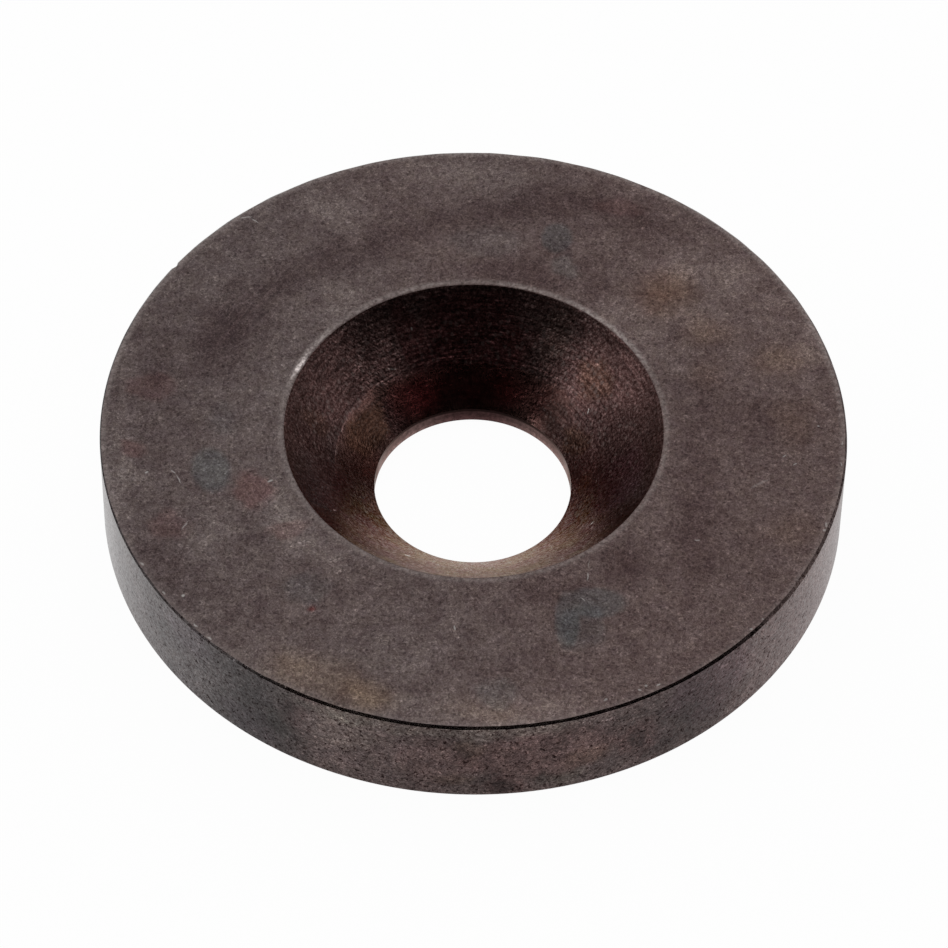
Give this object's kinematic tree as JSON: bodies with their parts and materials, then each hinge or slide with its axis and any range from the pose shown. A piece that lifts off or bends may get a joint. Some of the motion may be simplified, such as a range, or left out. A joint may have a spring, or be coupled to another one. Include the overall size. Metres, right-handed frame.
{
  "type": "countersunk washer",
  "caption": "Thick round steel washer with a conical countersink about its hole: a flat-head screw sits flush in it and the flat underside spreads the load.",
  "frame": {"origin": "centre of the flat bearing face, on the axis of the hole", "axes": "+Z along the hole, out of the countersink; X and Y may point anywhere, because the part is turned"},
  "size_m": [0.024, 0.024, 0.0035],
  "materials": {
    "black_oxide_steel": "satin"
  },
  "bodies": {
    "root": {"washer": "black_oxide_steel"}
  },
  "joints": []
}
